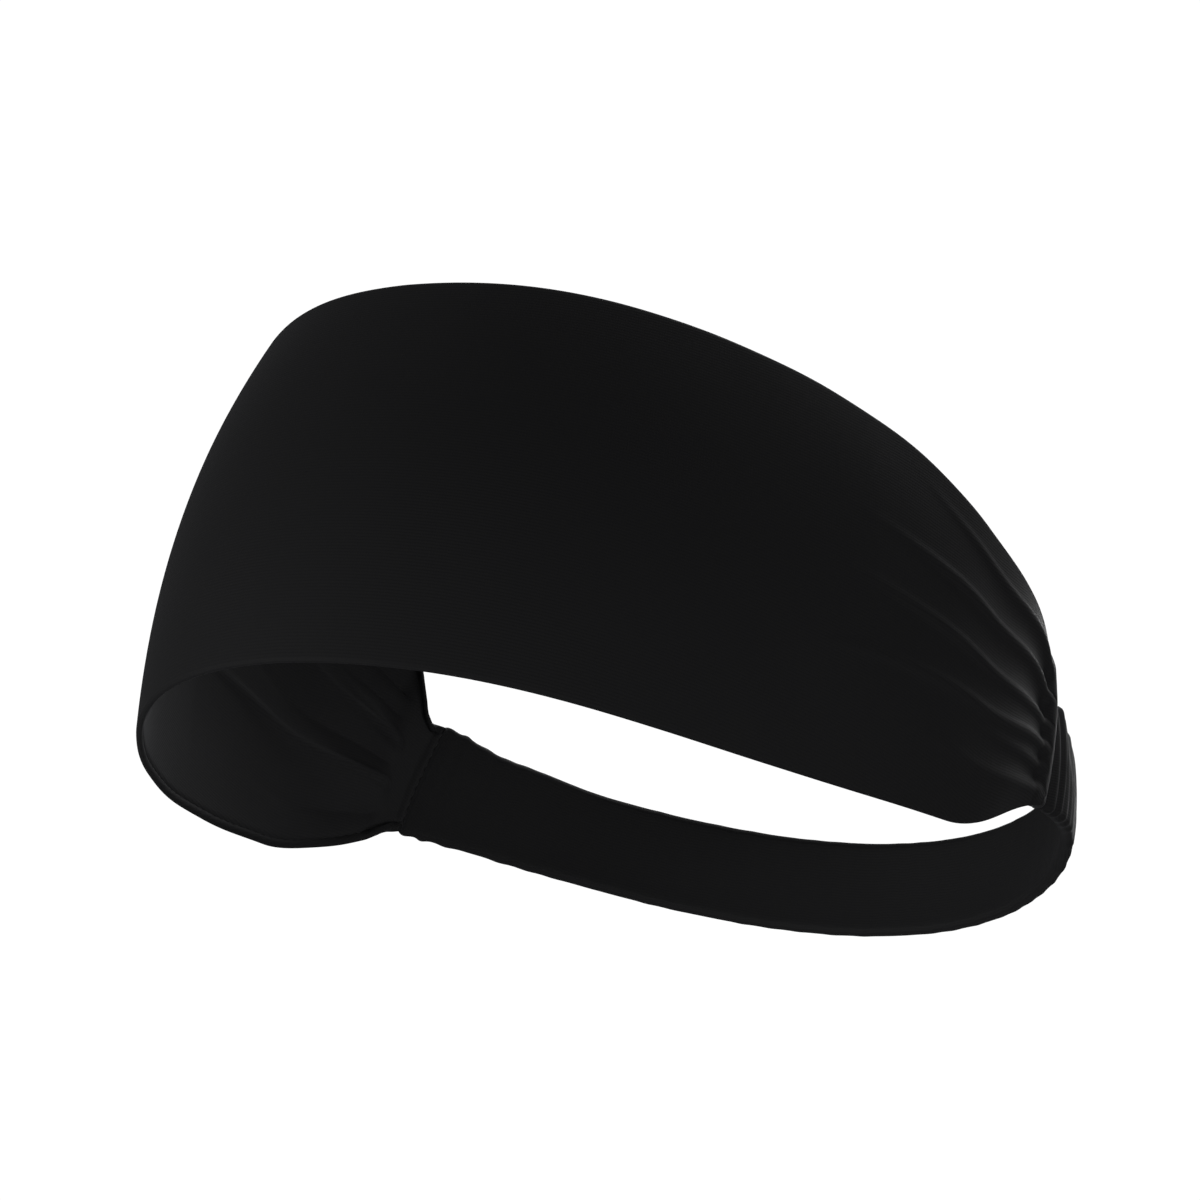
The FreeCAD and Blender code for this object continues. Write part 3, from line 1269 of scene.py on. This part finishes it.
OUTER = KnitFinish("black_outer_knit", "knit_outer", (0.0052, 0.0052, 0.0055),
                   (0.0078, 0.0078, 0.0083))
LINING = KnitFinish("black_lining_knit", "knit_lining", (0.0078, 0.0078, 0.0082),
                    (0.0118, 0.0118, 0.0124), roughness=0.8, specular=0.06, sheen=0.015)
SLEEVE = KnitFinish("black_sleeve_knit", "knit_band", (0.0056, 0.0056, 0.0059),
                    (0.0086, 0.0086, 0.0091), rib_pitch=0.55 * MM)
ELASTIC = KnitFinish("black_braided_elastic", "elastic", (0.006, 0.006, 0.006),
                     (0.015, 0.015, 0.015), rib_pitch=1.25 * MM, loop_pitch=0.8 * MM,
                     relief=0.12 * MM, specular=0.2, roughness=0.55)
THREAD = KnitFinish("black_sewing_thread", "thread", (0.006, 0.006, 0.0062),
                    (0.014, 0.014, 0.0145), rib_pitch=0.25 * MM, loop_pitch=0.45 * MM,
                    relief=0.04 * MM, specular=0.1, roughness=0.6)


@dataclass(frozen=True)
class Lamp:
    """One soft light of the studio."""

    name: str
    azimuth: float
    elevation: float
    distance: float
    size: float
    watts: float

    def build(self) -> None:
        """Hang the light and turn it to the origin."""
        data = bpy.data.lights.new(self.name, "AREA")
        data.shape = "DISK"
        data.size = self.size
        data.energy = self.watts
        lamp = add_object(self.name, data)
        lamp.visible_camera = False
        back = direction(self.azimuth, self.elevation)
        lamp.location = back * self.distance
        lamp.rotation_mode = "QUATERNION"
        lamp.rotation_quaternion = back.to_track_quat("Z", "Y")


def grey(level: float) -> tuple[float, float, float, float]:
    """An opaque grey."""
    return (level, level, level, 1.0)


def direction(azimuth: float, elevation: float) -> Vector:
    """The way from the origin to a place that is seen at these angles.

    Args:
        azimuth: Degrees from the front towards the wearer's left.
        elevation: Degrees above the level.

    Returns:
        A vector of length 1.
    """
    turn, rise = math.radians(azimuth), math.radians(elevation)
    return Vector((math.sin(turn) * math.cos(rise), -math.cos(turn) * math.cos(rise),
                   math.sin(rise)))


@dataclass
class Studio:
    """The pale floor, the soft light and the camera."""

    azimuth: float = 37.58
    elevation: float = -3.54
    distance: float = 1.2555
    lens: float = 203.25
    aim_right: float = -0.00245
    aim_up: float = 0.0210
    floor_level: float = -0.62
    floor_size: float = 6.0
    floor_seen: float = 0.20
    floor_glow: float = 0.85
    ambient: float = 0.18
    seen_sky: float = 1.05
    bounce: float = 0.25
    lamps: tuple[Lamp, ...] = (
        Lamp("key", -38, -6, 1.6, 0.8, 20),
        Lamp("fill", 42, -3, 1.7, 0.5, 11),
        Lamp("rear", 178, 52, 1.5, 0.7, 13.5),
        Lamp("low_rear", 178, 12, 1.5, 0.7, 3),
        Lamp("under", 95, -25, 1.2, 0.4, 4.5),
        Lamp("back_fill", -158, 14, 1.6, 0.8, 12),
    )

    def camera(self) -> None:
        """Set up the camera at the viewing angle."""
        back = direction(self.azimuth, self.elevation)
        right = Vector((math.cos(math.radians(self.azimuth)),
                        math.sin(math.radians(self.azimuth)), 0.0))
        up = back.cross(right)
        data = bpy.data.cameras.new("camera")
        data.lens = self.lens
        data.sensor_width = 36.0
        data.clip_start, data.clip_end = 0.05, 30.0
        camera = add_object("camera", data)
        camera.location = back * self.distance
        aim = right * self.aim_right + up * self.aim_up
        camera.rotation_mode = "QUATERNION"
        camera.rotation_quaternion = (camera.location - aim).to_track_quat("Z", "Y")
        bpy.context.scene.camera = camera

    def floor(self) -> None:
        """Lay the plain pale floor."""
        work = bmesh.new()
        bmesh.ops.create_circle(work, cap_ends=True, segments=96, radius=self.floor_size)
        bmesh.ops.translate(work, verts=work.verts, vec=(0.0, 0.0, self.floor_level))
        mesh = bpy.data.meshes.new("floor")
        work.to_mesh(mesh)
        work.free()
        material = bpy.data.materials.new("pale_floor")
        material.use_nodes = True
        wiring = Wiring(material.node_tree)
        seen = wiring.node("ShaderNodeLightPath").outputs["Is Camera Ray"]
        shader = material.node_tree.nodes["Principled BSDF"]
        shader.inputs["Roughness"].default_value = 0.9
        shader.inputs["Specular IOR Level"].default_value = 0.1
        shader.inputs["Emission Strength"].default_value = self.floor_glow
        colour = wiring.mix(seen, grey(self.bounce), grey(self.floor_seen))
        wiring.feed(shader.inputs["Base Color"], colour)
        glow = wiring.mix(seen, grey(0.0), grey(1.0))
        wiring.feed(shader.inputs["Emission Color"], glow)
        mesh.materials.append(material)
        add_object("floor", mesh)

    def sky(self) -> None:
        """Surround the band with white, seen at full strength and shining softly."""
        world = bpy.data.worlds.new("studio")
        world.use_nodes = True
        bpy.context.scene.world = world
        wiring, nodes = Wiring(world.node_tree), world.node_tree.nodes
        seen, soft = nodes["Background"], wiring.node("ShaderNodeBackground")
        for light, strength in ((seen, self.seen_sky), (soft, self.ambient)):
            light.inputs["Color"].default_value = grey(1.0)
            light.inputs["Strength"].default_value = strength
        paths = wiring.node("ShaderNodeLightPath")
        mix = wiring.node("ShaderNodeMixShader", {
            0: paths.outputs["Is Camera Ray"], 1: soft.outputs[0], 2: seen.outputs[0]})
        wiring.feed(nodes["World Output"].inputs["Surface"], mix.outputs[0])

    def build(self) -> None:
        """Build the whole studio."""
        bpy.context.scene.view_settings.view_transform = "Standard"
        self.camera()
        self.floor()
        self.sky()
        for lamp in self.lamps:
            lamp.build()


@dataclass
class Headband:
    """All the pieces, dressed and tied to the frame."""

    ring: Ring = field(default_factory=Ring)
    materials: dict[str, Material] = field(default_factory=dict)
    stretch_lead: float = 8 * MM

    def dress(self, piece: Object, finish: KnitFinish, nodes: tuple[str, ...]) -> None:
        """Give a piece its material, bake its place in the frame, hide the CAD nodes that it
        stands for and log its faces.

        Args:
            piece: The piece.
            finish: Its finish.
            nodes: The CAD nodes that it replaces.
        """
        piece.data.materials.append(self.materials[finish.name])
        if nodes:
            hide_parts(*nodes)
        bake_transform(piece)
        log.info("%s: %d faces", piece.name, len(piece.data.polygons))

    def build(self) -> None:
        """Build and dress every piece."""
        knit, haze = knit_group(), haze_group()
        self.materials = {finish.name: finish.material(knit, haze)
                          for finish in (OUTER, LINING, SLEEVE, ELASTIC, THREAD)}
        cloth = Cloth(self.ring)
        panel = Panel(cloth).build()
        self.dress(panel["outer"], OUTER, ("panel_outer_fabric",))
        self.dress(panel["lining"], LINING, ("panel_lining",))
        self.dress(panel["lower"], THREAD, ("lower_rim_seam",))
        self.dress(panel["upper"], THREAD, ("upper_rim_seam",))
        for name, hand in HANDS:
            neck = Neck(cloth, hand, name).build()
            self.dress(neck["allowance"], LINING, (f"seam_allowance_{name}",))
            self.dress(neck["first_row"], THREAD, (f"neck_gather_threads_{name}",))
            self.dress(neck["second_row"], THREAD, ())
            self.dress(neck["seam"], THREAD, (f"neck_seam_{name}",))
            neck["allowance"]
        band = Band(cloth).build()
        self.dress(band["sleeve"], SLEEVE, ("band_casing",))
        self.dress(band["elastic"], ELASTIC, ("band_elastic",))
        self.dress(band["seam"], THREAD, ("casing_seam",))
        for name, _ in HANDS:
            self.dress(band[f"tack_{name}_1"], THREAD, (f"elastic_tack_{name}",))
            self.dress(band[f"tack_{name}_2"], THREAD, ())


def main() -> None:
    """Build the studio and the headband, and report each piece."""
    logging.basicConfig(level=logging.INFO, format="%(name)s %(message)s")
    Studio().build()
    Headband().build()


if __name__ == "__main__":
    main()
